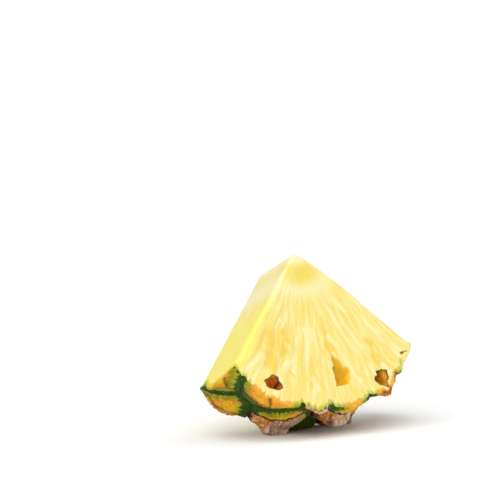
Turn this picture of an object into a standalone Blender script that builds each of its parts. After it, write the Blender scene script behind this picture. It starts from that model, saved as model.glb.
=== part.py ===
"""A quarter wedge of a thick pineapple slice, with its core and its rind on.

The wedge leans back, as a piece of cut fruit does that stands on the back edge of its rind. It is
shaped in the fruit's own frame and then set down. In that frame the fruit's long axis is local Z and
runs along the wedge's tip, local X runs along the left edge of the front cut, and local Y along its
right edge. Depth is measured back from the front cut, so it is minus local Z. The crown was in front
of the front cut.
"""

import math

import bmesh
import bpy
import numpy as np
from mathutils import Matrix, Vector

MM = 0.001

# The slice, and the quarter cut from it
RIND_RADIUS = 60 * MM
SLICE_THICKNESS = 24.5 * MM
SECTOR = math.radians(90)
BACK_SLANT = math.radians(4.5)
RIGHT_BOW = 1.4 * MM
EDGE_RADIUS = 1.6 * MM
TOUCHING = 1e-6 * MM

# The rind: eyes in golden-angle spirals, parted by grooves that are deepest where three eyes meet. At the
# front cut, drawn skin fills most of a groove.
EYE_RADIUS = 61.4 * MM
EYE_SLOPE = 1.3 * MM
EYE_REACH = 12 * MM
GROOVE_DEPTH = 1.9 * MM
GROOVE_WIDTH = 5.7 * MM
FRONT_GROOVE_SHARE = 0.25
FRONT_FILL = 9 * MM
FIRST_EYE = math.radians(17.6)
GOLDEN_ANGLE = math.pi * (3 - math.sqrt(5))
EYE_STEP = 1.2 * MM
SPIRAL_LENGTH = 34
BARREL = 0.8 * MM
STUNTED_EYE = -21
STUNTED_BY = 2 * MM

# Each eye's bract: a scale with a lip along a bowed line behind the eye's middle. Behind the lip it
# stays high for a while and then sinks to the back border, and it thins out to both sides.
BRACT_RISE = 2.9 * MM
BRACT_LINE = 2 * MM
BRACT_BOW = 0.035 / MM
BRACT_LIP = 1.6 * MM
BRACT_HIGH = 6.5 * MM
BRACT_SINK = 4.4 * MM
BRACT_HALF_WIDTH = 2.2 * MM
BRACT_TAPER = 3.8 * MM

# The skin curls in towards both corners, most at the left one's front end, and caves in near the right
LEFT_DROP = 1.3 * MM
LEFT_DROP_ARC = 33 * MM
LEFT_CORNER_DROP = 2.2 * MM
LEFT_CORNER_ARC = 6 * MM
RIGHT_DROP = 2 * MM
RIGHT_DROP_ARC = math.radians(76) * RIND_RADIUS
RIGHT_DROP_WIDTH = 8 * MM
RIGHT_DENT = 3.6 * MM
RIGHT_DENT_ARC = math.radians(72) * RIND_RADIUS
RIGHT_DENT_WIDTH = 5 * MM

# The pose: leaning back, turned a little about the front cut's normal, and resting on a flat spot
LEAN = math.radians(25.33)
ROLL = math.radians(1.96)
TIP_HEIGHT = 64.7 * MM

# The mesh, with finer steps by the cut edges
CUT_STEPS = 38
CUT_EASE = 1.3
DEPTH_STEPS = 18
DEPTH_EASE = 0.5

# Hollows in the front cut. Corners and the deepest place are a distance from the tip in millimetres
# and an angle from the left edge in degrees. The floor is the outline shrunk towards the deepest place.
HOLLOWS = {
    "left_blossom_cup": {
        "corners": [(54.5, 12.6), (50.4, 16.2), (50.6, 18.9), (54, 22.1), (55.5, 20), (56.2, 16), (56, 14)],
        "deepest": (53.6, 17.4),
        "depth": 6 * MM,
    },
    "right_blossom_cup": {
        "corners": [(52.5, 67.8), (52.9, 70.6), (54.5, 72.5), (60.4, 68.9), (57.5, 65.8), (55.6, 65.1)],
        "deepest": (55.0, 67.7),
        "depth": 5.5 * MM,
    },
    "corner_slit": {
        "corners": [(54.2, 83.2), (56.2, 86.2), (55.6, 83.0)],
        "deepest": (55.0, 83.8),
        "depth": 2.5 * MM,
    },
    "seed_pit": {
        "corners": [(39.1, 49.7), (51.9, 45.9), (52.2, 50.5), (52.1, 54.0), (48.1, 56.9)],
        "deepest": (50.8, 47.5),
        "depth": 4 * MM,
    },
}
FLOOR_SHARE = 0.4
CUTTER_PROUD = 1 * MM


def clear_scene():
    for item in list(bpy.data.objects):
        bpy.data.objects.remove(item, do_unlink=True)


def smoothstep(value):
    """0 below 0, 1 above 1 and an even rise between them."""
    value = np.clip(value, 0, 1)
    return value * value * (3 - 2 * value)


def eye_centres():
    """The eyes near the wedge, as arc length from the left edge and depth.

    Each next eye is a golden angle further round the fruit and one step nearer the crown, and the
    first, eye 0, lies at the front cut.
    """
    centres = []
    for index in range(-SPIRAL_LENGTH, SPIRAL_LENGTH + 1):
        turn = FIRST_EYE + index * GOLDEN_ANGLE
        turn = (turn + math.pi / 2) % (2 * math.pi) - math.pi / 2
        centres.append((turn * RIND_RADIUS, -index * EYE_STEP))
    return np.array(centres)


def bract_lift(across, along):
    """Height share of an eye's bract at a place on the eye: 1 on the scale and 0 off it."""
    behind = along - BRACT_LINE + BRACT_BOW * across**2
    lip = smoothstep(behind / BRACT_LIP)
    sink = 1 - smoothstep((behind - BRACT_HIGH) / BRACT_SINK)
    side = 1 - smoothstep((np.abs(across) - BRACT_HALF_WIDTH) / BRACT_TAPER)
    return lip * sink * side


def rind_radius(angle, depth):
    """Distance of the rind's skin from the core at an angle and a depth.

    Each point belongs to its nearest eye. The skin is a shallow dome over the eye, and every border
    with another eye takes a bell-shaped groove out of it, so that two grooves add up where three eyes
    meet. Towards the front cut the grooves are filled. The bract stands on the dome, and the skin drops
    at both cut corners.
    """
    eyes = eye_centres()
    spacing = np.linalg.norm(eyes[:, None] - eyes[None], axis=2)
    arc = angle * RIND_RADIUS
    across = arc[:, None] - eyes[:, 0]
    along = depth[:, None] - eyes[:, 1]
    squared = across**2 + along**2
    nearest = squared.argmin(axis=1)
    row = np.arange(len(angle))
    own = squared[row, nearest]
    gaps = spacing[nearest]
    border = np.full(squared.shape, np.inf)
    np.divide(squared - own[:, None], 2 * gaps, out=border, where=gaps > 0)
    front = 1 - smoothstep(depth / FRONT_FILL)
    share = 1 - (1 - FRONT_GROOVE_SHARE) * front
    grooves = share * np.exp(-((border / GROOVE_WIDTH) ** 2)).sum(axis=1)

    dome = EYE_RADIUS - EYE_SLOPE * own / EYE_REACH**2 - GROOVE_DEPTH * grooves
    dome += BARREL * depth / SLICE_THICKNESS
    inside = smoothstep(border.min(axis=1) / GROOVE_WIDTH)
    dome -= STUNTED_BY * inside * (nearest == STUNTED_EYE + SPIRAL_LENGTH)
    bract = BRACT_RISE * inside * bract_lift(across[row, nearest], along[row, nearest])
    corners = LEFT_DROP * (1 - smoothstep(arc / LEFT_DROP_ARC))
    corners += LEFT_CORNER_DROP * front * (1 - smoothstep(arc / LEFT_CORNER_ARC))
    corners += RIGHT_DROP * smoothstep((arc - RIGHT_DROP_ARC) / RIGHT_DROP_WIDTH)
    dent = RIGHT_DENT * np.exp(-(((arc - RIGHT_DENT_ARC) / RIGHT_DENT_WIDTH) ** 2))
    return dome + bract - corners - dent


def round_cuts(x, y, ahead, behind):
    """Round the edges and corners between the cuts, from a place's distances to them.

    A place on a cut is pulled on to a ball about the nearest place that is at least the ball's radius
    away from every cut. The other places stay.
    """
    gaps = np.stack([x, y, np.minimum(ahead, behind)], axis=1)
    core = np.maximum(gaps, EDGE_RADIUS)
    out = gaps - core
    on_cut = gaps.min(axis=1) <= TOUCHING
    reach = np.where(on_cut, np.linalg.norm(out, axis=1), EDGE_RADIUS)
    x, y, gap = (core + out * (EDGE_RADIUS / reach)[:, None]).T
    return x, y, np.where(ahead < behind, gap, ahead + behind - gap)


def place_in_wedge(block):
    """Bend the points of a unit block on to the wedge.

    The block's base is a square grid that becomes the quarter circle, with the corner at the origin as
    the tip and the far corner at the middle of the rind. Its height becomes depth. The edges between
    the cuts are rounded.
    """
    a, b = (block[:, :2] ** CUT_EASE).T
    level = block[:, 2] - DEPTH_EASE * np.sin(2 * math.pi * block[:, 2]) / (2 * math.pi)
    x = a * np.sqrt(1 - b**2 / 2)
    y = b * np.sqrt(1 - a**2 / 2)
    share = np.hypot(x, y)
    angle = np.arctan2(y, x) * SECTOR / (math.pi / 2)

    thickness = SLICE_THICKNESS + RIND_RADIUS * share * np.sin(angle) * math.tan(BACK_SLANT)
    depth = level * thickness
    radius = share * rind_radius(angle, depth)
    x, y = radius * np.cos(angle), radius * np.sin(angle)
    x, y, depth = round_cuts(x, y, depth, thickness - depth)
    # share * (1 - share) ** 2 has its peak, 4 / 27, a third of the way out
    bow = RIGHT_BOW * 27 / 4 * share * (1 - share) ** 2 * (angle / SECTOR) ** 2
    return np.stack([x - bow, y, -depth], axis=1)


def wedge_mesh():
    """Grid one cut face, extrude it layer by layer into a unit block, and bend the block."""
    shape = bmesh.new()
    bmesh.ops.create_grid(shape, x_segments=CUT_STEPS, y_segments=CUT_STEPS, size=0.5)
    bmesh.ops.translate(shape, verts=shape.verts, vec=(0.5, 0.5, 0))
    layer = shape.faces[:]
    for step in range(DEPTH_STEPS):
        grown = bmesh.ops.extrude_face_region(shape, geom=layer, use_keep_orig=True)["geom"]
        if step > 0:
            bmesh.ops.delete(shape, geom=layer, context="FACES_ONLY")
        layer = [item for item in grown if isinstance(item, bmesh.types.BMFace)]
        corners = [item for item in grown if isinstance(item, bmesh.types.BMVert)]
        bmesh.ops.translate(shape, verts=corners, vec=(0, 0, 1 / DEPTH_STEPS))
    inner = [edge for edge in shape.edges if not edge.link_faces]
    bmesh.ops.delete(shape, geom=inner, context="EDGES")
    loose = [vert for vert in shape.verts if not vert.link_edges]
    bmesh.ops.delete(shape, geom=loose, context="VERTS")

    block = np.array([tuple(vert.co) for vert in shape.verts])
    for vert, place in zip(shape.verts, place_in_wedge(np.clip(block, 0, 1))):
        vert.co = place
    bmesh.ops.recalc_face_normals(shape, faces=shape.faces)
    bmesh.ops.triangulate(shape, faces=shape.faces)
    mesh = bpy.data.meshes.new("pineapple_wedge")
    shape.to_mesh(mesh)
    shape.free()
    mesh.shade_smooth()
    mesh.set_sharp_from_angle(angle=math.radians(40))
    return mesh


def lean_matrix():
    """Turn the fruit's frame so that the front cut faces -Y and up, and the middle of the rind is below."""
    down = Vector((0, -math.sin(LEAN), -math.cos(LEAN)))
    sideways = Vector((1, 0, 0))
    left_edge = down * math.cos(ROLL - SECTOR / 2) + sideways * math.sin(ROLL - SECTOR / 2)
    right_edge = down * math.cos(ROLL + SECTOR / 2) + sideways * math.sin(ROLL + SECTOR / 2)
    front = Vector((0, -math.cos(LEAN), math.sin(LEAN)))
    return Matrix((left_edge, right_edge, front)).transposed().to_4x4()


def set_down(mesh):
    """The pose that centres the wedge over the origin, with the front end of its tip at TIP_HEIGHT."""
    lean = lean_matrix()
    points = np.array([tuple(lean @ vert.co) for vert in mesh.vertices])
    middle = (points.min(axis=0) + points.max(axis=0)) / 2
    return Matrix.Translation((-middle[0], -middle[1], TIP_HEIGHT)) @ lean


def flesh_material():
    material = bpy.data.materials.new("pineapple_flesh")
    material.use_nodes = True
    finish = material.node_tree.nodes["Principled BSDF"]
    finish.inputs["Base Color"].default_value = (0.90, 0.72, 0.22, 1)
    finish.inputs["Roughness"].default_value = 0.45
    finish.inputs["Metallic"].default_value = 0
    return material


def add_object(name, mesh, pose):
    item = bpy.data.objects.new(name, mesh)
    item.matrix_world = pose
    bpy.context.collection.objects.link(item)
    return item


def cut_with(target, cutter):
    """Take the cutter's shape out of the target, and keep the cutter out of the model."""
    cutter.hide_render = True
    cutter.display_type = "WIRE"
    cut = target.modifiers.new(cutter.name, "BOOLEAN")
    cut.operation = "DIFFERENCE"
    cut.solver = "EXACT"
    cut.object = cutter


def front_point(distance, angle):
    """A point of the front cut from its distance from the tip and its angle from the left edge."""
    turn = math.radians(angle)
    return Vector((distance * MM * math.cos(turn), distance * MM * math.sin(turn), 0))


def hollow_cutter(name, pose, corners, deepest, depth):
    """A tapered plug through the front cut: the outline in front, and a smaller one at the floor."""
    middle = front_point(*deepest)
    outline = [front_point(*corner) for corner in corners]
    shape = bmesh.new()
    rings = []
    flare = 1 + CUTTER_PROUD / depth * (1 - FLOOR_SHARE)
    for share, level in ((flare, CUTTER_PROUD), (FLOOR_SHARE, -depth)):
        ring = [middle + (corner - middle) * share + Vector((0, 0, level)) for corner in outline]
        rings.append([shape.verts.new(place) for place in ring])
    for ring in rings:
        shape.faces.new(ring)
    count = len(outline)
    for index in range(count):
        after = (index + 1) % count
        shape.faces.new((rings[0][index], rings[0][after], rings[1][after], rings[1][index]))
    bmesh.ops.triangulate(shape, faces=shape.faces)
    bmesh.ops.recalc_face_normals(shape, faces=shape.faces)
    mesh = bpy.data.meshes.new(name)
    shape.to_mesh(mesh)
    shape.free()
    return add_object(name, mesh, pose)


def floor_cutter():
    """A block under the resting plane, wider than the wedge."""
    shape = bmesh.new()
    size = 4 * RIND_RADIUS
    bmesh.ops.create_cube(shape, size=size, matrix=Matrix.Translation((0, 0, -size / 2)))
    mesh = bpy.data.meshes.new("resting_plane")
    shape.to_mesh(mesh)
    shape.free()
    return add_object("resting_plane", mesh, Matrix.Identity(4))


def make_wedge():
    mesh = wedge_mesh()
    pose = set_down(mesh)
    wedge = add_object("pineapple_wedge", mesh, pose)
    mesh.materials.append(flesh_material())
    for name, sizes in HOLLOWS.items():
        cut_with(wedge, hollow_cutter(name, pose, **sizes))
    cut_with(wedge, floor_cutter())


clear_scene()
make_wedge()
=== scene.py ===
"""A wedge of fresh pineapple: juicy flesh, cut eyes, and a rind of eyes, grooves and dry bracts.

All shapes are worked out in millimetres in the fruit's own frame: distance from the tip's edge,
angle from the left edge of the front cut, and depth behind the front cut. They are then set down
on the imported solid.
"""

import math
from typing import NamedTuple

import bpy
import numpy as np
from mathutils import Matrix, Vector


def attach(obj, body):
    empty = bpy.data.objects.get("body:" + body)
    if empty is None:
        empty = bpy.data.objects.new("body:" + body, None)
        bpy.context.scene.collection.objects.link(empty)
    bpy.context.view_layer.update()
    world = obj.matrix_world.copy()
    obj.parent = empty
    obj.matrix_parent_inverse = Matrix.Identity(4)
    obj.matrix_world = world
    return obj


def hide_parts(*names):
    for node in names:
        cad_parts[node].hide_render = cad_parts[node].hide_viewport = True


bl_info = {
    "name": "Pineapple Wedge",
    "version": (1, 0, 0),
    "blender": (4, 5, 0),
    "location": "3D View > Sidebar > Pineapple",
    "description": "Builds a wedge of fresh pineapple on its packed solid, with its stage",
    "category": "Add Mesh",
}

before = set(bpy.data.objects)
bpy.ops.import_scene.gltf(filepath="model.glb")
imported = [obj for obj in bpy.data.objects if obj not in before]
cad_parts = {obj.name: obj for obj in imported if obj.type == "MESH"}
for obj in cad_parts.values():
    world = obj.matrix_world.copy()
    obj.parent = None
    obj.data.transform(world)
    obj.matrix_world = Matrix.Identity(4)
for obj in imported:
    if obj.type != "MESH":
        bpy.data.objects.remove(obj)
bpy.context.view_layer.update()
NODE = "pineapple_wedge"

# A millimetre in Blender's units
MM = 0.001

# The slice and its pose, as in the solid. The scale brings the bow's peak to its full height
RIND_RADIUS = 60.0
SLICE_THICKNESS = 24.5
SECTOR = math.radians(90)
BACK_SLANT = math.radians(4.5)
RIGHT_BOW = 1.4
BOW_SCALE = 6.75
LEAN = math.radians(25.33)
ROLL = math.radians(1.96)
TIP = (-0.4904, 2.3239, 64.7)

# The eyes, as in the solid
EYE_RADIUS = 61.4
EYE_SLOPE = 1.3
EYE_REACH = 12.0
GROOVE_DEPTH = 1.9
GROOVE_WIDTH = 5.7
FRONT_GROOVE_SHARE = 0.25
FRONT_FILL = 9.0
FIRST_EYE = math.radians(17.6)
GOLDEN_ANGLE = math.pi * (3 - math.sqrt(5))
EYE_STEP = 1.2
SPIRAL_LENGTH = 34
BARREL = 0.8
STUNTED_EYE = -21
STUNTED_BY = 2.0
BRACT_RISE = 2.9
BRACT_LINE = 2.0
BRACT_BOW = 0.035
BRACT_LIP = 1.6
BRACT_HIGH = 6.5
BRACT_SINK = 4.4
BRACT_HALF_WIDTH = 2.2
BRACT_TAPER = 3.8
LEFT_DROP = 1.3
LEFT_DROP_ARC = 33.0
LEFT_CORNER_DROP = 2.2
LEFT_CORNER_ARC = 6.0
RIGHT_DROP = 2.0
RIGHT_DROP_ARC = math.radians(76) * RIND_RADIUS
RIGHT_DROP_WIDTH = 8.0
RIGHT_DENT = 3.6
RIGHT_DENT_ARC = math.radians(72) * RIND_RADIUS
RIGHT_DENT_WIDTH = 5.0

# How far the rind stands proud of the cuts, and how round its outer edges are
PROUD = 0.06
RIND_EDGE = 0.5

# The deepest that grooves can add up to, as a share of one groove, and how much of what this takes
# away comes back behind a certain depth
GROOVE_LIMIT = 1.25
GROOVE_RETURN = 0.5
RETURN_START = 13.0
RETURN_RUN = 6.0

# Fine forms of the skin: wavering, valleys along the borders, slits and ribs on the bracts, and
# ripples everywhere as height, length and seed
WAVER = 0.5
WAVER_LENGTH = 6.0
BORDER_WAVER = 0.35
BORDER_WAVER_LENGTH = 3.2
VALLEY_DEPTH = 0.6
VALLEY_WIDTH = 0.8
SLIT_DEPTH = 0.55
SLIT_WIDTH = 0.5
SLIT_REACH = 5.2
SLIT_TAPER = 1.6
SCALE_RISE = 0.3
SCALE_EDGE = 0.7
SCALE_REACH = 6.4
SCALE_TAPER = 2.0
SCALE_MARGIN = 1.5
RIB_HEIGHT = 0.22
RIB_PITCH = 1.9
RIB_SWAY = 1.5
RIPPLES = ((0.13, 1.9, 25), (0.06, 0.9, 26))

# The stunted eye's green grows from its middle to its right side over this width
GREEN_RUN = 3.0

# Where the skin is cut away at the right corner, and where its green hem ends on the cut
BARE_ANGLE = math.radians(76.5)
BARE_RUN = 0.04
BARE_DEPTH = 4.0
BARE_DEPTH_RUN = 5.0
HEM_END = math.radians(81)

# A direction is not sharper than this, in millimetres, near the middle of an eye
SPOKE_ROOT = 0.5

# Fibres on the cuts: where they start, how they grow and how they end by the skin, the level that
# they stay under, and how far they sway. A stroke is a height, how often it repeats over the angle,
# how far it is drawn out along the radius, a length and a seed
FIBRE_START = 6.0
FIBRE_RUN = 14.0
FIBRE_RIM = 3.0
FIBRE_TOP = 1.2
FIBRE_SWAY = 0.014
FIBRE_SWAY_LENGTH = 16.0
FIBRE_STROKES = ((1.0, 34, 9, 2.2, 11), (0.5, 80, 7, 2.4, 12))

# How far a hollow's outline wavers, and shares of the way to its deepest place: where its floor
# starts, and where its ink and its amber are full
HOLLOW_WAVER = 0.35
HOLLOW_WAVER_LENGTH = 3.0
HOLLOW_FLOOR = 0.75
INK_EDGE = 0.06
PIT_EDGE = 0.16

# Nearer than this, in millimetres, a place lies on a face
TOUCHING = 1e-6

# Hollows in the front cut: corners and the deepest place as distance and angle in degrees, depth,
# strength of the dark lining, and dark seams as both ends and a width
HOLLOWS = {
    "left_cup": {
        "corners": (
            (54.5, 12.6),
            (50.4, 16.2),
            (50.6, 18.9),
            (54, 22.1),
            (55.5, 20),
            (56.2, 16),
            (56, 14),
        ),
        "deepest": (53.6, 17.4),
        "depth": 5.6,
        "ink": 1.0,
        "seams": (((50.6, 18.9), (55.7, 20.6), 0.45),),
    },
    "right_cup": {
        "corners": (
            (52.5, 67.8),
            (52.9, 70.6),
            (54.5, 72.5),
            (60.4, 68.9),
            (57.5, 65.8),
            (55.6, 65.1),
        ),
        "deepest": (55.0, 67.7),
        "depth": 5.0,
        "ink": 1.0,
        "seams": (((52.8, 69.6), (56.4, 65.6), 1.0), ((56.4, 65.6), (61.8, 68.1), 0.5)),
    },
    "corner_slit": {
        "corners": ((54.2, 83.2), (56.2, 86.2), (55.6, 83.0)),
        "deepest": (55.0, 83.8),
        "depth": 2.2,
        "ink": 0.7,
        "seams": (((54.2, 83.2), (56.0, 85.4), 0.5),),
    },
    "seed_pit": {
        "corners": ((39.1, 49.7), (51.9, 45.9), (52.2, 50.5), (52.1, 54.0), (48.1, 56.9)),
        "deepest": (50.8, 47.5),
        "depth": 4.0,
        "ink": 0.0,
        "seams": (),
    },
}

# Golden stains on the front cut: both ends as distance and angle in degrees, and the width
STAINS = (
    ((42.5, 74.9), (50.4, 71.6), 1.5),
    ((47.4, 23.7), (48.5, 26.2), 0.7),
    ((36.0, 50.0), (41.0, 49.2), 1.2),
    ((36.0, 10.0), (46.0, 14.0), 3.4),
    ((33.0, 19.0), (41.0, 20.0), 1.6),
    ((30.0, 50.0), (37.0, 49.0), 0.8),
)

# Brown lines on the rind: both ends as arc length and depth, and the width
CRACKS = (
    ((17.0, -1.0), (21.0, 6.2), 0.6),
    ((14.5, 6.6), (20.6, 6.2), 0.8),
    ((0.5, 5.4), (6.3, 10.5), 0.45),
    ((43.0, 6.0), (46.0, 16.0), 0.5),
    ((46.0, 4.0), (51.0, 15.0), 0.4),
    ((51.0, 3.0), (57.0, 12.0), 0.35),
)

# The floor's disc in metres, the lights' spreads and the sides that they stand on, and the camera:
# its shift to the right and up in its own plane and its reach, in metres, and its sensor, in
# millimetres
FLOOR_RADIUS = 12.0
FLOOR_CORNERS = 96
KEY_SPREAD = math.radians(70)
KEY_PLACE = (-0.8, -0.45, 1.2)
FILL_SPREAD = math.radians(60)
FILL_PLACE = (0.8, -0.3, 0.8)
CAMERA_SHIFT = (-0.01607, 0.00066)
CAMERA_REACH = 50
SENSOR_WIDTH = 36


class EyeLook(NamedTuple):
    """The look of one eye.

    It says how ripe the eye is, up to 1, and how dry its bract is, up to 1.4. It gives how far the
    bract's painted lip lies behind the eye's middle and how it slants, the share of its height that
    the bract keeps, and how much wider than elsewhere the green of the grooves is.
    """

    ripe: float = 0.6
    dry: float = 0.75
    lip: float = 1.0
    slant: float = 0.0
    keep: float = 1.0
    green: float = 0.0


# The eyes in view, by their number on the spiral
EYE_LOOKS = {
    0: EyeLook(ripe=1.0, dry=0.0, lip=5.0, slant=0.1, keep=0.2, green=-1.0),
    3: EyeLook(ripe=1.0, dry=0.6, lip=4.0),
    -5: EyeLook(ripe=0.5, dry=1.35, lip=-0.6, slant=-0.35, green=0.9),
    # Eye -8 is barely ripe and olive, which partly paints the shade on its lower part
    -8: EyeLook(ripe=-0.1, dry=0.0, lip=6.0, keep=0.6, green=0.9),
    -13: EyeLook(ripe=0.55, dry=1.0, lip=-4.4, slant=0.65, green=1.1),
    -18: EyeLook(ripe=0.5, dry=1.0, lip=-2.0),
    -21: EyeLook(ripe=0.5, dry=0.55, lip=-1.5, green=2.0),
    # Painted shade: eye -26 lies low in the dark gap by the table and is groove green all over
    -26: EyeLook(ripe=0.3, dry=0.0, lip=-14.0),
}


def srgb(red, green, blue):
    """A colour as a screen shows it, 0 to 255, turned linear."""
    share = np.array([red, green, blue]) / 255
    linear = np.where(share > 0.04045, ((share + 0.055) / 1.055) ** 2.4, share / 12.92)
    return tuple(float(value) for value in linear)


def smoothstep(value):
    """0 below 0, 1 above 1 and an even rise between them."""
    value = np.clip(value, 0, 1)
    return value * value * (3 - 2 * value)


def ripple(x, y, length, seed):
    """Smooth wandering between about -1 and 1: a sum of sine waves in fixed chance directions."""
    chance = np.random.default_rng(seed)
    total = np.zeros(np.shape(x))
    for _ in range(7):
        turn, phase = chance.uniform(0, 2 * math.pi, 2)
        wave = 2 * math.pi / (length * chance.uniform(0.7, 1.6))
        total = total + np.sin(wave * (x * math.cos(turn) + y * math.sin(turn)) + phase)
    return total / 3


def eye_centres():
    """The eyes near the wedge, as arc length, depth and number.

    Each next eye is a golden angle further round and one step further to the front.
    """
    number = np.arange(-SPIRAL_LENGTH, SPIRAL_LENGTH + 1)
    turn = (FIRST_EYE + number * GOLDEN_ANGLE + math.pi / 2) % (2 * math.pi) - math.pi / 2
    return np.stack([turn * RIND_RADIUS, -number * EYE_STEP, number], axis=1)


def thickness_at(distance, angle):
    """The slice's thickness at a place: it grows evenly away from the left cut."""
    return SLICE_THICKNESS + distance * np.sin(angle) * math.tan(BACK_SLANT)


class Skin:
    """The rind's skin at places given by angle and depth, as whole arrays.

    across and along are the place on its own eye, border the distance to the nearest border of
    that eye, and radius the distance from the core: a shallow dome over each eye, less a
    bell-shaped groove for each border, plus the bract, less the drops at both corners and the dent
    near the right one.
    """

    def __init__(self, angle, depth):
        eyes = eye_centres()
        spacing = np.linalg.norm(eyes[:, None, :2] - eyes[None, :, :2], axis=2)
        self.arc = angle * RIND_RADIUS
        self.depth = depth
        across = self.arc[:, None] - eyes[:, 0]
        along = depth[:, None] - eyes[:, 1]
        squared = across**2 + along**2
        nearest = squared.argmin(axis=1)
        row = np.arange(len(angle))
        own = squared[row, nearest]
        gaps = spacing[nearest]
        border = np.full(squared.shape, np.inf)
        np.divide(squared - own[:, None], 2 * gaps, out=border, where=gaps > 0)
        self.across = across[row, nearest]
        self.along = along[row, nearest]
        self.border = border.min(axis=1)

        front = 1 - smoothstep(depth / FRONT_FILL)
        grooves = np.exp(-((border / GROOVE_WIDTH) ** 2)).sum(axis=1)
        filled = GROOVE_LIMIT * np.tanh(grooves / GROOVE_LIMIT)
        back = smoothstep((depth - RETURN_START) / RETURN_RUN)
        grooves = filled + GROOVE_RETURN * (grooves - filled) * back
        grooves = grooves * (1 - (1 - FRONT_GROOVE_SHARE) * front)

        looks = np.array([EYE_LOOKS.get(int(number), EyeLook()) for number in eyes[:, 2]])
        self.ripe, self.dry, self.lip, self.slant, keep, self.green = looks[nearest].T
        stunted = eyes[nearest, 2] == STUNTED_EYE
        self.green = self.green * np.where(stunted, smoothstep(self.across / GREEN_RUN), 1)

        inside = smoothstep(self.border / GROOVE_WIDTH)
        radius = EYE_RADIUS - EYE_SLOPE * own / EYE_REACH**2 - GROOVE_DEPTH * grooves
        radius += BARREL * depth / SLICE_THICKNESS
        radius -= STUNTED_BY * inside * stunted
        radius += BRACT_RISE * keep * inside * self.bract()
        radius -= LEFT_DROP * (1 - smoothstep(self.arc / LEFT_DROP_ARC))
        radius -= LEFT_CORNER_DROP * front * (1 - smoothstep(self.arc / LEFT_CORNER_ARC))
        radius -= RIGHT_DROP * smoothstep((self.arc - RIGHT_DROP_ARC) / RIGHT_DROP_WIDTH)
        radius -= RIGHT_DENT * np.exp(-(((self.arc - RIGHT_DENT_ARC) / RIGHT_DENT_WIDTH) ** 2))
        self.radius = radius
        self.lift = self.detail()

    def bract(self):
        """1 on the bract and 0 off it: a lip behind a bowed line, high, then sinking backwards."""
        behind = self.along - BRACT_LINE + BRACT_BOW * self.across**2
        sink = 1 - smoothstep((behind - BRACT_HIGH) / BRACT_SINK)
        side = 1 - smoothstep((np.abs(self.across) - BRACT_HALF_WIDTH) / BRACT_TAPER)
        return smoothstep(behind / BRACT_LIP) * sink * side

    def detail(self):
        """The height that the fine forms add, after the place on the eye is made to waver.

        A narrow bell-shaped valley runs along every border, and a slit along each bract's lip. Ribs
        stand behind the lip as a cosine across the eye, and fine ripples lie everywhere.
        """
        arc, depth = self.arc, self.depth
        self.across = self.across + WAVER * ripple(arc, depth, WAVER_LENGTH, seed=21)
        self.along = self.along + WAVER * ripple(arc, depth, WAVER_LENGTH, seed=22)
        ragged = self.border + BORDER_WAVER * ripple(arc, depth, BORDER_WAVER_LENGTH, seed=23)
        self.border = np.maximum(ragged, 0)
        self.behind = self.along - self.lip + self.slant * self.across
        side = np.abs(self.across)
        lift = -VALLEY_DEPTH * np.exp(-((self.border / VALLEY_WIDTH) ** 2))
        slit = np.exp(-((self.behind / SLIT_WIDTH) ** 2))
        lift -= SLIT_DEPTH * slit * (1 - smoothstep((side - SLIT_REACH) / SLIT_TAPER))
        sway = RIB_SWAY * ripple(arc, depth, length=5, seed=24)
        ribs = 0.5 + 0.5 * np.cos(2 * math.pi * self.across / RIB_PITCH + sway)
        body = smoothstep(self.behind / SCALE_EDGE)
        body = body * (1 - smoothstep((side - SCALE_REACH) / SCALE_TAPER))
        margin = smoothstep(self.border / SCALE_MARGIN)
        lift += body * (SCALE_RISE + RIB_HEIGHT * ribs) * margin
        for height, length, seed in RIPPLES:
            lift += height * ripple(arc, depth, length, seed)
        return lift


def fruit_axes():
    """Rows: the left edge of the front cut, its right edge, and its outward normal."""
    down = np.array([0, -math.sin(LEAN), -math.cos(LEAN)])
    sideways = np.array([1.0, 0, 0])
    left = down * math.cos(ROLL - SECTOR / 2) + sideways * math.sin(ROLL - SECTOR / 2)
    right = down * math.cos(ROLL + SECTOR / 2) + sideways * math.sin(ROLL + SECTOR / 2)
    return np.array([left, right, [0, -math.cos(LEAN), math.sin(LEAN)]])


def set_down(x, y, depth, clearance):
    """From the fruit's frame in millimetres to the row frame in metres, kept off the table.

    Each place stays at least its clearance above the table, so the layers keep their order where
    the wedge rests.
    """
    local = np.stack([x, y, -depth], axis=1)
    placed = (np.array(TIP) + local @ fruit_axes()) * MM
    placed[:, 2] = np.maximum(placed[:, 2], clearance * MM)
    return placed


def block_surface(counts):
    """The six sides of a unit block as one closed grid: corners, quads, and grid numbers.

    The quads face outwards once the block is bent to the wedge, where depth runs along minus Z.
    """
    sizes = np.array(counts)
    strides = np.array([(sizes[1] + 1) * (sizes[2] + 1), sizes[2] + 1, 1])
    quads = []
    for axis in range(3):
        one, two = (axis + 1) % 3, (axis + 2) % 3
        i, j = np.meshgrid(np.arange(sizes[one]), np.arange(sizes[two]), indexing="ij")
        base = (i * strides[one] + j * strides[two]).ravel()
        around = np.array([0, strides[one], strides[one] + strides[two], strides[two]])
        top = base[:, None] + around + sizes[axis] * strides[axis]
        quads.append(top[:, ::-1])
        quads.append(base[:, None] + around)
    keys, faces = np.unique(np.concatenate(quads), return_inverse=True)
    first, rest = np.divmod(keys, strides[0])
    lattice = np.stack([first, *np.divmod(rest, strides[1])], axis=1)
    return lattice / sizes, faces.reshape(-1, 4), lattice


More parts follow.
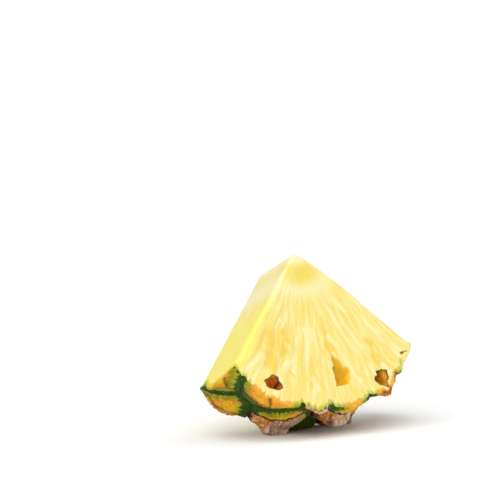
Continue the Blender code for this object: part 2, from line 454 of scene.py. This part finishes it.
def make_object(name, points, faces, material, masks):
    """A mesh object at the origin from arrays, with its masks as point attributes."""
    mesh = bpy.data.meshes.new(name)
    mesh.vertices.add(len(points))
    mesh.vertices.foreach_set("co", points.ravel())
    mesh.loops.add(faces.size)
    mesh.loops.foreach_set("vertex_index", faces.ravel())
    mesh.polygons.add(len(faces))
    mesh.polygons.foreach_set("loop_start", np.arange(0, faces.size, faces.shape[1]))
    mesh.polygons.foreach_set("use_smooth", np.ones(len(faces), dtype=bool))
    for key, values in masks.items():
        kind, slot = ("FLOAT_VECTOR", "vector") if values.ndim == 2 else ("FLOAT", "value")
        mesh.attributes.new(key, kind, "POINT").data.foreach_set(slot, values.ravel())
    mesh.update(calc_edges=True)
    mesh.validate()
    mesh.materials.append(material)
    item = bpy.data.objects.new(name, mesh)
    bpy.context.collection.objects.link(item)
    return item


def from_polar(distance, degrees):
    """A place on the front cut from its distance from the tip and its angle."""
    turn = math.radians(degrees)
    return distance * math.cos(turn), distance * math.sin(turn)


def hollow_share(x, y, corners, deepest):
    """0 outside a hollow's outline, rising straight from every side to 1 over its deepest place."""
    spots = np.array([from_polar(*corner) for corner in corners])
    middle = np.array(from_polar(*deepest))
    sides = np.roll(spots, -1, axis=0) - spots
    normals = np.stack([-sides[:, 1], sides[:, 0]], axis=1)
    normals = normals / np.linalg.norm(sides, axis=1)[:, None]
    reach = ((middle - spots) * normals).sum(axis=1)
    normals = normals * np.sign(reach)[:, None]
    place = np.stack([x, y], axis=1)
    distance = place @ normals.T - (spots * normals).sum(axis=1)
    return np.clip((distance / np.abs(reach)).min(axis=1), 0, 1)


def streak(x, y, start, end, width):
    """A bell across the line between two places, which fades past its ends."""
    first, last = np.array(start), np.array(end)
    span = last - first
    place = np.stack([x, y], axis=1) - first
    share = np.clip(place @ span / (span @ span), 0, 1)
    gap = np.linalg.norm(place - share[:, None] * span, axis=1)
    return np.exp(-((gap / width) ** 2))


def stain(x, y):
    """1 along the golden stains of the front cut, which waver, and 0 away from them."""
    wander = 0.8 * ripple(x, y, length=4, seed=41)
    x, y = x + wander, y - wander
    bells = [streak(x, y, from_polar(*a), from_polar(*b), width) for a, b, width in STAINS]
    return np.minimum(sum(bells), 1)


def crack(arc, depth):
    """1 along the brown lines of the rind, which waver, and 0 away from them."""
    wander = 0.3 * ripple(arc, depth, length=4, seed=51)
    arc, depth = arc + wander, depth - wander
    return np.minimum(sum(streak(arc, depth, *line) for line in CRACKS), 1)


def round_cuts(x, y, ahead, behind, radius):
    """Round the edges and corners between flat faces, from a place's distances to them.

    A place on a face is pulled on to a ball about the nearest place that is at least the ball's
    radius away from every face. The other places stay.
    """
    gaps = np.stack([x, y, np.minimum(ahead, behind)], axis=1)
    core = np.maximum(gaps, radius)
    out = gaps - core
    on_face = gaps.min(axis=1) <= TOUCHING
    reach = np.where(on_face, np.linalg.norm(out, axis=1), radius)
    x, y, gap = (core + out * (radius / reach)[:, None]).T
    return x, y, np.where(ahead < behind, gap, ahead + behind - gap)


class Signal:
    """A socket's number. Arithmetic on it adds Math nodes."""

    def __init__(self, paint, socket):
        self.paint = paint
        self.socket = socket

    def _math(self, operation, *values):
        node = self.paint.node(
            "ShaderNodeMath", {"operation": operation}, dict(enumerate(values))
        )
        return Signal(self.paint, node.outputs[0])

    def __add__(self, other):
        return self._math("ADD", self, other)

    def __radd__(self, other):
        return self._math("ADD", other, self)

    def __sub__(self, other):
        return self._math("SUBTRACT", self, other)

    def __rsub__(self, other):
        return self._math("SUBTRACT", other, self)

    def __mul__(self, other):
        return self._math("MULTIPLY", self, other)

    def __rmul__(self, other):
        return self._math("MULTIPLY", other, self)


class Paint:
    """One material under construction."""

    def __init__(self, name):
        self.material = bpy.data.materials.new(name)
        self.material.use_nodes = True
        self.tree = self.material.node_tree
        self.shader = self.tree.nodes["Principled BSDF"]

    def node(self, kind, settings, inputs):
        """Add a node: its settings first, then a value, colour, signal or socket per input."""
        node = self.tree.nodes.new(kind)
        for key, value in settings.items():
            setattr(node, key, value)
        for key, value in inputs.items():
            self.feed(node.inputs[key], value)
        return node

    def feed(self, socket, value):
        """Link a signal or a socket, or else set the socket's value."""
        if isinstance(value, Signal):
            value = value.socket
        if isinstance(value, bpy.types.NodeSocket):
            self.tree.links.new(value, socket)
        elif hasattr(value, "__len__") and len(value) == 3 and socket.type == "RGBA":
            socket.default_value = (*value, 1)
        else:
            socket.default_value = value

    def mask(self, name):
        """A number attribute of the mesh."""
        node = self.node("ShaderNodeAttribute", {"attribute_name": name}, {})
        return Signal(self, node.outputs["Fac"])

    def vector(self, name):
        """A vector attribute of the mesh."""
        node = self.node("ShaderNodeAttribute", {"attribute_name": name}, {})
        return node.outputs["Vector"]

    def noise(self, vector, amounts, scale, detail, roughness, distortion=0.0):
        """Noise on a vector that is first multiplied by the amounts."""
        place = self.node(
            "ShaderNodeVectorMath", {"operation": "MULTIPLY"}, {0: vector, 1: amounts}
        )
        inputs = {
            "Vector": place.outputs[0],
            "Scale": scale,
            "Detail": detail,
            "Roughness": roughness,
            "Distortion": distortion,
        }
        return Signal(self, self.node("ShaderNodeTexNoise", {}, inputs).outputs["Fac"])

    def fade(self, value, low, high):
        """0 where the value is at low, 1 where it is at high, and an even rise between them."""
        inputs = {"Value": value, "From Min": low, "From Max": high}
        node = self.node("ShaderNodeMapRange", {"interpolation_type": "SMOOTHSTEP"}, inputs)
        return Signal(self, node.outputs["Result"])

    def band(self, value, low, high, soft):
        """1 where the value lies between low and high."""
        rise = self.fade(value, low - soft, low + soft)
        return rise * self.fade(value, high + soft, high - soft)

    def mix(self, amount, colour, other):
        """From a colour at 0 to the other at 1."""
        inputs = {"Factor": amount, 6: colour, 7: other}
        return self.node("ShaderNodeMix", {"data_type": "RGBA"}, inputs).outputs[2]

    def bump(self, height, strength, distance, under=None):
        """A normal that tilts with the height, on top of the one under it."""
        inputs = {"Height": height, "Strength": strength, "Distance": distance}
        if under is not None:
            inputs["Normal"] = under
        return self.node("ShaderNodeBump", {}, inputs).outputs["Normal"]

    def finish(self, **inputs):
        """Set the shader's sockets, named with _ for a space."""
        for key, value in inputs.items():
            self.feed(self.shader.inputs[key.replace("_", " ")], value)
        return self.material


def colour_property(name, description, red, green, blue):
    """A colour setting, whose default is given as a screen shows it."""
    return bpy.props.FloatVectorProperty(
        name=name,
        description=description,
        subtype="COLOR",
        size=3,
        min=0,
        max=1,
        default=srgb(red, green, blue),
    )


class FleshSettings(bpy.types.PropertyGroup):
    """Sizes and colours of the flesh."""

    edge_radius: bpy.props.FloatProperty(
        name="Edge Radius",
        description="Rounding of the cut edges, in millimetres",
        default=1.6,
        min=0.1,
        max=3,
    )
    relief: bpy.props.FloatProperty(
        name="Relief",
        description="Height of the fibres on the cuts, in millimetres",
        default=0.09,
        min=0,
        max=1,
    )
    steps: bpy.props.IntProperty(
        name="Steps", description="Cells along each cut edge", default=180, min=20, max=190
    )
    # Pale also paints the highlight at the tip and part of the light on the upper left cut
    pale: colour_property("Pale", "Pale fibres and the core's border", 245, 236, 186)
    yellow: colour_property("Yellow", "Main colour of the flesh", 240, 222, 132)
    golden: colour_property("Golden", "Deeper colour between the fibres", 236, 206, 86)
    core: colour_property("Core", "Soft patch of the core", 232, 208, 74)
    lemon: colour_property("Lemon", "Lower part of the left cut", 246, 232, 106)
    stain: colour_property("Stain", "Golden stains on the front cut", 236, 194, 50)
    amber: colour_property("Amber", "Floor of the seed pit", 226, 174, 0)
    lime: colour_property("Lime", "Skin seen on the cut by the grooves", 178, 190, 60)
    edge: colour_property("Edge", "Skin seen on the cut by the eyes", 232, 158, 44)
    cup: colour_property("Cup", "Dark rim of the cut blossom cups", 74, 24, 4)
    husk: colour_property("Husk", "Dry lining of the cut blossom cups", 208, 112, 14)
    lobe: colour_property("Lobe", "Lighter lobes in the blossom cups", 246, 178, 48)
    flap: colour_property("Flap", "Golden flap in the right blossom cup", 214, 158, 16)


class RindSettings(bpy.types.PropertyGroup):
    """Sizes and colours of the rind."""

    thickness: bpy.props.FloatProperty(
        name="Thickness",
        description="Thickness of the coloured skin, in millimetres",
        default=0.9,
        min=0.5,
        max=3,
    )
    inset: bpy.props.FloatProperty(
        name="Inset",
        description="How far the flesh ends below the skin, in millimetres",
        default=0.45,
        min=0.1,
        max=2,
    )
    arc_steps: bpy.props.IntProperty(
        name="Arc Steps", description="Cells round the rind", default=340, min=40, max=380
    )
    depth_steps: bpy.props.IntProperty(
        name="Depth Steps", description="Cells along the fruit", default=96, min=10, max=110
    )
    # Groove green also paints the shade over eye -26
    groove: colour_property("Groove", "Dark green of the grooves", 42, 78, 4)
    # Olive also partly paints the shade on the lower part of eye -8
    olive: colour_property("Olive", "Green to yellow ring of an eye", 152, 136, 4)
    fringe: colour_property("Fringe", "Pale green strokes along the grooves", 166, 184, 38)
    yellow: colour_property("Yellow", "Yellow patches of an eye", 236, 192, 26)
    orange: colour_property("Orange", "Ripe middle of an eye", 246, 160, 52)
    rib: colour_property("Rib", "Golden side of a bract", 218, 134, 26)
    bract: colour_property("Bract", "Dry scale of an eye", 190, 146, 116)
    # This brown also paints the shade in the gap under a bract's lip
    scorch_and_shade: colour_property("Scorch", "Brown line and edges of a scale", 70, 34, 10)
    paper: colour_property("Paper", "Bleached streaks of a scale", 252, 238, 222)
    bare: colour_property("Bare", "Skin cut away at the right corner", 240, 224, 140)


class StageSettings(bpy.types.PropertyGroup):
    """The floor, the lights and the camera."""

    floor: colour_property("Floor", "Colour of the floor", 252, 252, 252)
    key: bpy.props.FloatProperty(
        name="Key", description="Strength of the light from the left", default=2.5, min=0
    )
    fill: bpy.props.FloatProperty(
        name="Fill", description="Strength of the light from the right", default=0.6, min=0
    )
    sky: bpy.props.FloatProperty(
        name="Sky", description="Strength of the even light", default=0.38, min=0
    )
    lens: bpy.props.FloatProperty(
        name="Lens", description="Focal length, in millimetres", default=216, min=20
    )
    distance: bpy.props.FloatProperty(
        name="Distance",
        description="From the camera to the wedge's tip",
        default=1.0888,
        min=0.2,
        unit="LENGTH",
    )
    azimuth: bpy.props.FloatProperty(
        name="Azimuth",
        description="Turn of the camera round the wedge",
        default=math.radians(-34.34),
        subtype="ANGLE",
    )
    elevation: bpy.props.FloatProperty(
        name="Elevation",
        description="Angle of the camera above the table",
        default=math.radians(6),
        subtype="ANGLE",
    )


def flesh_levels():
    """Depth shares of the flesh's layers, close together at both cuts for their round edges."""
    near = np.array([0, 0.009, 0.018, 0.027, 0.036, 0.06])
    return np.concatenate([near, np.linspace(0.1, 0.9, 15), 1 - near[::-1]])


def sink_hollows(x, y, front):
    """The hollows' depth at each place of the front cut, and the masks that colour them.

    A hollow falls smoothly from its wavering outline to a floor about its deepest place.
    """
    masks = {name: np.zeros(len(x)) for name in ("ink", "cup", "seam", "pit")}
    sunk = np.zeros(len(x))
    wander = HOLLOW_WAVER * ripple(x, y, HOLLOW_WAVER_LENGTH, seed=5)
    for form in HOLLOWS.values():
        inside = hollow_share(x + wander, y - wander, form["corners"], form["deepest"])
        inside = np.where(front, inside, 0)
        sunk += form["depth"] * smoothstep(inside / HOLLOW_FLOOR)
        if form["ink"]:
            ink = form["ink"] * smoothstep(inside / INK_EDGE)
            masks["ink"] = np.maximum(masks["ink"], ink)
            masks["cup"] = np.maximum(masks["cup"], inside)
        else:
            masks["pit"] = np.maximum(masks["pit"], smoothstep(inside / PIT_EDGE))
        for start, end, width in form["seams"]:
            seam = streak(x, y, from_polar(*start), from_polar(*end), width) * front
            masks["seam"] = np.maximum(masks["seam"], seam)
    return sunk, masks


def shape_flesh(sizes, inset):
    """The flesh as a closed block bent to the wedge.

    The block's base is a square grid, and the elliptical map turns it into the quarter circle with
    the first corner at the tip. Radius is the share of the way to the skin, less the inset. The
    front sinks into the hollows, both cuts carry fibres that run out from the tip, and the cut
    edges are wrapped round an eighth of a circle on each side. The right cut bows outwards as the
    share times the square of what is left of it.
    """
    levels = flesh_levels()
    unit, faces, lattice = block_surface((sizes.steps, sizes.steps, len(levels) - 1))
    a, b = unit[:, 0], unit[:, 1]
    level = levels[lattice[:, 2]]
    x = a * np.sqrt(1 - b**2 / 2)
    y = b * np.sqrt(1 - a**2 / 2)
    share = np.hypot(x, y)
    angle = np.arctan2(y, x)
    thickness = thickness_at(RIND_RADIUS * share, angle)
    depth = level * thickness
    skin = Skin(angle, depth)
    radius = share * (skin.radius + skin.lift - inset)
    rim = (1 - share) * skin.radius

    # Hollows and fibres on the front and back cuts
    x, y = radius * np.cos(angle), radius * np.sin(angle)
    front = level == 0
    back = level == 1
    sunk, masks = sink_hollows(x, y, front)
    wavy = angle + FIBRE_SWAY * ripple(x, y, FIBRE_SWAY_LENGTH, seed=31)
    fibres = 0
    for height, often, drawn, length, seed in FIBRE_STROKES:
        fibres = fibres + height * ripple(wavy * often, radius / drawn, length, seed)
    fibres = fibres * smoothstep((radius - FIBRE_START) / FIBRE_RUN) * smoothstep(rim / FIBRE_RIM)
    lift = sizes.relief * (fibres - FIBRE_TOP) * (1 - smoothstep(masks["ink"] * 2))
    depth = depth + np.where(front, sunk - lift, np.where(back, lift, 0))

    # Rounded edges, and the bow of the right cut
    ahead, behind = level * thickness, (1 - level) * thickness
    x, y, rounded = round_cuts(x, y, ahead, behind, sizes.edge_radius)
    depth = depth + rounded - ahead
    bow = RIGHT_BOW * BOW_SCALE * share * (1 - share) ** 2 * (angle / SECTOR) ** 2
    masks["polar"] = np.stack([wavy, radius, depth], axis=1)
    masks["rim"] = rim
    masks["stain"] = stain(x, y) * front
    masks["border"] = skin.border
    return set_down(x - bow, y, depth, inset), faces, masks


def shape_rind(sizes):
    """The rind as a closed shell over the arc and the depth.

    Outside it is the skin with its fine forms, and inside it is that less the thickness. It stands
    a hair proud of the cuts, and its outer edges are rounded.
    """
    unit, faces, _ = block_surface((sizes.arc_steps, sizes.depth_steps, 1))
    angle = unit[:, 0] * SECTOR
    thickness = thickness_at(RIND_RADIUS, angle)
    depth = unit[:, 1] * thickness
    skin = Skin(angle, depth)
    from_left, from_right = skin.arc, SECTOR * RIND_RADIUS - skin.arc
    side = np.minimum(from_left, from_right)
    cover = (1 - unit[:, 2]) * sizes.thickness
    new_side, cover, depth = round_cuts(side, cover, depth, thickness - depth, RIND_EDGE)
    shift = np.where(from_left < from_right, new_side - side, side - new_side)
    depth = depth + PROUD * (2 * unit[:, 1] - 1)
    angle = angle + (shift + PROUD * (2 * unit[:, 0] - 1)) / RIND_RADIUS
    radius = skin.radius + skin.lift - cover

    # What the material reads. A spoke points from an eye's middle to the place
    spoke = np.stack([skin.across, skin.along, skin.border], axis=1)
    reach = np.maximum(np.hypot(skin.across, skin.along), SPOKE_ROOT)
    bare = smoothstep((skin.arc / RIND_RADIUS - BARE_ANGLE) / BARE_RUN)
    masks = {
        "spot": np.stack([skin.arc, depth, radius - RIND_RADIUS], axis=1),
        "spoke": spoke / reach[:, None],
        "across": skin.across,
        "border": skin.border,
        "green": skin.green,
        "crack": crack(skin.arc, depth),
        "bare": bare * (1 - smoothstep((depth - BARE_DEPTH) / BARE_DEPTH_RUN)),
        "behind": skin.behind,
        "ripe": skin.ripe,
        "dry": skin.dry,
    }
    return set_down(radius * np.cos(angle), radius * np.sin(angle), depth, cover), faces, masks


def flesh_material(colours):
    """Pale and golden fibres run out from the tip, past a plain core, to the edge of the skin.

    Radius, rim and border are in millimetres, and the angle is in radians.
    """
    paint = Paint("flesh")
    polar = paint.vector("polar")
    parts = paint.node("ShaderNodeSeparateXYZ", {}, {0: polar})
    angle = Signal(paint, parts.outputs[0])
    radius = Signal(paint, parts.outputs[1])
    rim = paint.mask("rim")
    ink = paint.mask("ink")
    border = paint.mask("border")
    fine = paint.noise(polar, (44, 0.11, 0.8), 1.0, 3, 0.55, 0.6)
    broad = paint.noise(polar, (17, 0.075, 0.3), 1.0, 3, 0.55, 0.9)
    hair = paint.noise(polar, (120, 0.2, 2), 1.0, 2, 0.55, 0.4)
    cloud = paint.noise(polar, (4, 0.07, 0.1), 1.3, 2, 0.5)
    grain = paint.noise(polar, (1, 1, 1), 1.2, 3, 0.6)

    # Fibres: a noise, where its stroke starts and where it is full, its strength and its colour
    out = paint.fade(radius, 12, 24)
    colour = paint.mix(paint.fade(cloud, 0.38, 0.62) * 0.45, colours.yellow, colours.golden)
    for noise, start, full, strength, stroke in (
        (broad, 0.48, 0.66, 0.5, colours.golden),
        (broad, 0.52, 0.34, 0.65, colours.pale),
        (fine, 0.5, 0.7, 0.3, colours.pale),
        (fine, 0.46, 0.34, 0.22, colours.golden),
        (hair, 0.52, 0.66, 0.36, colours.pale),
        (hair, 0.46, 0.34, 0.26, colours.golden),
    ):
        colour = paint.mix(paint.fade(noise, start, full) * out * strength, colour, stroke)

    # The core between a pale tip, which is a painted highlight, and a pale halo, and the left cut
    halo = paint.band(radius, 13, 18, 3)
    core = paint.band(radius, 6, 11.5, 3) * paint.band(angle, 0.35, 1.3, 0.35)
    side = paint.fade(angle, 0.1, 0.03)
    colour = paint.mix(halo * 0.6, colour, colours.pale)
    # Painted highlight: the flesh turns pale towards the tip
    colour = paint.mix(paint.fade(radius, 7, 3) * 0.8, colour, colours.pale)
    colour = paint.mix(core * 0.75, colour, colours.core)
    colour = paint.mix(side * paint.fade(radius, 14, 34) * 0.75, colour, colours.lemon)
    # The upper left cut is paler: pale flesh, and partly painted light that lifts this cut out of
    # its shade
    colour = paint.mix(side * paint.band(radius, 7, 22, 5) * 0.6, colour, colours.pale)
    colour = paint.mix(paint.mask("stain") * 0.7, colour, colours.stain)

    # The skin's ragged edge on the cuts, with a dark hem where the rind is scorched
    left = paint.fade(angle, 0.03, 0.01)
    tufts = paint.band(angle, 0.57, 0.8, 0.08)
    ragged = rim + (fine - 0.5) * 3.5 + (hair - 0.5) * 2 - left * 1.3 - tufts * 0.9
    skin = paint.mix(paint.fade(border, 2.5, 5), colours.lime, colours.edge)
    skin = paint.mix(left * paint.fade(border, 1, 3), skin, colours.stain)
    skin = paint.mix(paint.fade(angle, HEM_END - 0.02, HEM_END + 0.03), skin, colours.yellow)
    colour = paint.mix(paint.fade(ragged, 1.8, 1.3) * 0.85, colour, skin)
    hem = paint.fade(rim + (fine - 0.5) * 4 + (hair - 0.5) * 2, 1.3, 0.7)
    colour = paint.mix(hem * tufts * 0.8, colour, colours.cup)

    # The seed pit, and the blossom cups with a dark rim and seams
    colour = paint.mix(paint.mask("pit"), colour, colours.amber)
    lobes = paint.mix(paint.fade(broad, 0.4, 0.6), colours.husk, colours.lobe)
    lobes = paint.mix(paint.fade(angle, 1.0, 1.1) * 0.7, lobes, colours.flap)
    cup = paint.mask("cup") + (hair - 0.5) * 0.1
    lining = paint.mix(paint.fade(cup, 0.2, 0.08), lobes, colours.cup)
    lining = paint.mix(paint.mask("seam"), lining, colours.cup)
    colour = paint.mix(ink, colour, lining)

    relief = paint.bump(fine * 0.5 + broad * 0.5, 0.3, 0.6 * MM)
    relief = paint.bump(grain, 0.12, 0.3 * MM, relief)
    return paint.finish(
        Base_Color=colour,
        Roughness=0.36 + ink * 0.3,
        Normal=relief,
        Subsurface_Weight=0.12,
        Subsurface_Radius=(1.0, 0.85, 0.3),
        Subsurface_Scale=3 * MM,
        Specular_IOR_Level=0.35,
    )


def rind_material(colours):
    """Each eye in rings from its groove inwards, with its bract, from the place on the eye.

    Across, border and behind are in millimetres.
    """
    paint = Paint("rind")
    spot = paint.vector("spot")
    spoke = paint.vector("spoke")
    across = paint.mask("across")
    border = paint.mask("border")
    behind = paint.mask("behind")
    dry = paint.mask("dry")
    green = paint.mask("green")
    strokes = paint.noise(spoke, (13, 13, 0.3), 1.0, 3, 0.55)
    grain = paint.noise(spot, (1, 1, 1), 1.1, 3, 0.65)
    freckles = paint.noise(spot, (1, 1, 1), 1.7, 3, 0.65)
    patch = paint.noise(spot, (1, 1, 1), 0.22, 2, 0.5)
    ribs = paint.noise(spot, (1.3, 0.2, 0.15), 1.0, 3, 0.6, 0.5)

    # Rings of an eye: a ripe middle, olive, pale strokes and the dark green groove
    ragged = border + (strokes - 0.5) * 3.4 + (patch - 0.5) * 1.5
    middle = paint.mix(paint.fade(patch, 0.42, 0.6), colours.orange, colours.yellow)
    ripe = paint.fade(ragged + paint.mask("ripe") * 3, 4.6, 7.6)
    colour = paint.mix(ripe, colours.olive, middle)
    fringe = paint.band(ragged - green, 1.9, 3.4, 0.6) * paint.fade(strokes, 0.36, 0.6)
    colour = paint.mix(fringe * 0.75, colour, colours.fringe)
    colour = paint.mix(paint.fade(ragged - green, 2.5, 1.3), colour, colours.groove)
    # Behind the lip of an undried eye the groove's green is laid on, which on eye -26 is painted
    # shade
    back = paint.fade(behind + (strokes - 0.5) * 1.5, 0.2, 1.2) * paint.fade(dry, 0.3, 0.1)
    colour = paint.mix(back * 0.85, colour, colours.groove)

    # The dry bract: golden at its left, tan at its right, with bleached and scorched ribs
    shrunk = across - paint.fade(dry, 1, 1.2) * 9
    scale = paint.fade(behind, 0.1, 0.9) * dry * paint.fade(shrunk, 7, 5)
    tan = paint.fade(across, -4.6, -3.4) * paint.fade(dry, 0.55, 0.85)
    husk = paint.mix(tan, colours.rib, colours.bract)
    husk = paint.mix(paint.fade(ribs, 0.5, 0.64) * 0.6, husk, colours.paper)
    husk = paint.mix(paint.fade(ribs, 0.44, 0.34) * 0.6, husk, colours.scorch_and_shade)
    tail = paint.fade(behind, 7, 10) * paint.fade(across, -4, 0)
    husk = paint.mix(tail * 0.6, husk, colours.paper)
    bleach = paint.fade(dry, 1, 1.4) * paint.fade(across, -6, 2)
    bleach = bleach * (0.35 + paint.fade(ribs, 0.38, 0.52) * 0.5)
    husk = paint.mix(bleach, husk, colours.paper)
    inner = paint.fade(border + (ribs - 0.5) * 2, 0.6, 1.8)
    husk = paint.mix(inner, colours.scorch_and_shade, husk)
    colour = paint.mix(paint.fade(scale, 0.2, 0.5), colour, husk)

    # Brown lines and specks, with painted shade along the bracts' lips, and the bare corner
    # The dark line along a bract's lip is brown, and partly painted shade of the gap under the lip
    slit = paint.band(behind, -0.5, 0.5, 0.25) * paint.fade(border, 0.8, 2.2)
    colour = paint.mix(slit * (0.25 + dry * 0.65), colour, colours.scorch_and_shade)
    colour = paint.mix(paint.fade(grain, 0.54, 0.8) * 0.35, colour, colours.scorch_and_shade)
    colour = paint.mix(paint.fade(freckles, 0.56, 0.66) * 0.45, colour, colours.scorch_and_shade)
    colour = paint.mix(paint.fade(freckles, 0.41, 0.32) * 0.2, colour, colours.paper)
    colour = paint.mix(paint.mask("crack") * 0.75, colour, colours.scorch_and_shade)
    colour = paint.mix(paint.mask("bare"), colour, colours.bare)

    height = grain * 0.6 + strokes * 0.4 + ribs * scale * 0.8
    return paint.finish(
        Base_Color=colour,
        Roughness=0.5 + scale * 0.25,
        Normal=paint.bump(height, 0.7, 1.2 * MM),
        Specular_IOR_Level=0.1,
    )


def dress(item):
    """A piece rides on the wedge and stands for its solid."""
    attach(item, "root")
    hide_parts(NODE)
    return item


class WEDGE_OT_flesh(bpy.types.Operator):
    """Make the flesh, with its fibres, blossom cups and seed pit."""

    bl_idname = "pineapple.flesh"
    bl_label = "Flesh"

    def execute(self, context):
        settings = context.scene.wedge_flesh
        points, faces, masks = shape_flesh(settings, context.scene.wedge_rind.inset)
        item = dress(make_object("flesh", points, faces, flesh_material(settings), masks))
        return {"FINISHED"}


class WEDGE_OT_rind(bpy.types.Operator):
    """Make the rind, with its eyes, grooves and bracts."""

    bl_idname = "pineapple.rind"
    bl_label = "Rind"

    def execute(self, context):
        settings = context.scene.wedge_rind
        points, faces, masks = shape_rind(settings)
        item = dress(make_object("rind", points, faces, rind_material(settings), masks))
        return {"FINISHED"}


def add_sun(name, strength, spread, place):
    """An even light from far away at the place's side, soft over a wide angle."""
    data = bpy.data.lights.new(name, "SUN")
    data.energy = strength
    data.angle = spread
    lamp = bpy.data.objects.new(name, data)
    lamp.rotation_euler = Vector(place).to_track_quat("Z", "Y").to_euler()
    bpy.context.collection.objects.link(lamp)


class WEDGE_OT_stage(bpy.types.Operator):
    """Make the floor, the light and the camera."""

    bl_idname = "pineapple.stage"
    bl_label = "Stage"

    def execute(self, context):
        settings = context.scene.wedge_stage
        self.floor(settings)
        self.light(context.scene, settings)
        self.camera(context.scene, settings)
        return {"FINISHED"}

    def floor(self, settings):
        """A flat disc under the wedge, wide enough to fill the view."""
        index = np.arange(FLOOR_CORNERS)
        turn = index * 2 * math.pi / FLOOR_CORNERS
        ring = np.stack([np.cos(turn), np.sin(turn), np.zeros(FLOOR_CORNERS)], axis=1)
        points = np.concatenate([FLOOR_RADIUS * ring, [[0, 0, 0]]])
        middle = np.full(FLOOR_CORNERS, FLOOR_CORNERS)
        faces = np.stack([index, (index + 1) % FLOOR_CORNERS, middle], axis=1)
        material = Paint("floor").finish(
            Base_Color=(*settings.floor,), Roughness=0.6, Specular_IOR_Level=0.1
        )
        make_object("floor", points, faces, material, {})

    def light(self, scene, settings):
        """An even white sky, a wide key light from the left and a weak one from the right."""
        world = bpy.data.worlds.new("studio")
        world.use_nodes = True
        background = world.node_tree.nodes["Background"]
        background.inputs["Color"].default_value = (1, 1, 1, 1)
        background.inputs["Strength"].default_value = settings.sky
        scene.world = world
        add_sun("key", settings.key, KEY_SPREAD, KEY_PLACE)
        add_sun("fill", settings.fill, FILL_SPREAD, FILL_PLACE)
        scene.view_settings.view_transform = "Standard"

    def camera(self, scene, settings):
        """Away from the tip by the azimuth and elevation, then shifted in the camera's plane."""
        turn, rise = settings.azimuth, settings.elevation
        right = Vector((math.cos(turn), math.sin(turn), 0))
        back = Vector((math.sin(turn), -math.cos(turn), 0)) * math.cos(rise)
        back.z = math.sin(rise)
        up = back.cross(right)
        data = bpy.data.cameras.new("camera")
        data.lens = settings.lens
        data.sensor_width = SENSOR_WIDTH
        data.clip_end = CAMERA_REACH
        camera = bpy.data.objects.new("camera", data)
        place = Vector(TIP) * MM + back * settings.distance
        place = place + right * CAMERA_SHIFT[0] + up * CAMERA_SHIFT[1]
        turned = Matrix((right, up, back)).transposed().to_4x4()
        camera.matrix_world = Matrix.Translation(place) @ turned
        bpy.context.collection.objects.link(camera)
        scene.camera = camera


class WEDGE_PT_panel(bpy.types.Panel):
    """Lists the wedge's pieces and their settings."""

    bl_label = "Pineapple Wedge"
    bl_idname = "WEDGE_PT_panel"
    bl_space_type = "VIEW_3D"
    bl_region_type = "UI"
    bl_category = "Pineapple"

    def draw(self, context):
        for group, operator in PARTS:
            box = self.layout.box()
            box.operator(operator.bl_idname)
            settings = getattr(context.scene, group)
            for key in settings.bl_rna.properties.keys():
                if key not in ("rna_type", "name"):
                    box.prop(settings, key)


GROUPS = {
    "wedge_flesh": FleshSettings,
    "wedge_rind": RindSettings,
    "wedge_stage": StageSettings,
}
PARTS = (
    ("wedge_flesh", WEDGE_OT_flesh),
    ("wedge_rind", WEDGE_OT_rind),
    ("wedge_stage", WEDGE_OT_stage),
)
CLASSES = (*GROUPS.values(), WEDGE_OT_flesh, WEDGE_OT_rind, WEDGE_OT_stage, WEDGE_PT_panel)


def register():
    """Make the classes and their settings known to Blender."""
    for item in CLASSES:
        bpy.utils.register_class(item)
    for key, group in GROUPS.items():
        setattr(bpy.types.Scene, key, bpy.props.PointerProperty(type=group))


def unregister():
    """Take the settings and the classes away again."""
    for key in GROUPS:
        delattr(bpy.types.Scene, key)
    for item in reversed(CLASSES):
        bpy.utils.unregister_class(item)


def main():
    """Build the wedge and its stage."""
    register()
    bpy.ops.pineapple.flesh()
    bpy.ops.pineapple.rind()
    bpy.ops.pineapple.stage()


if __name__ == "__main__":
    main()
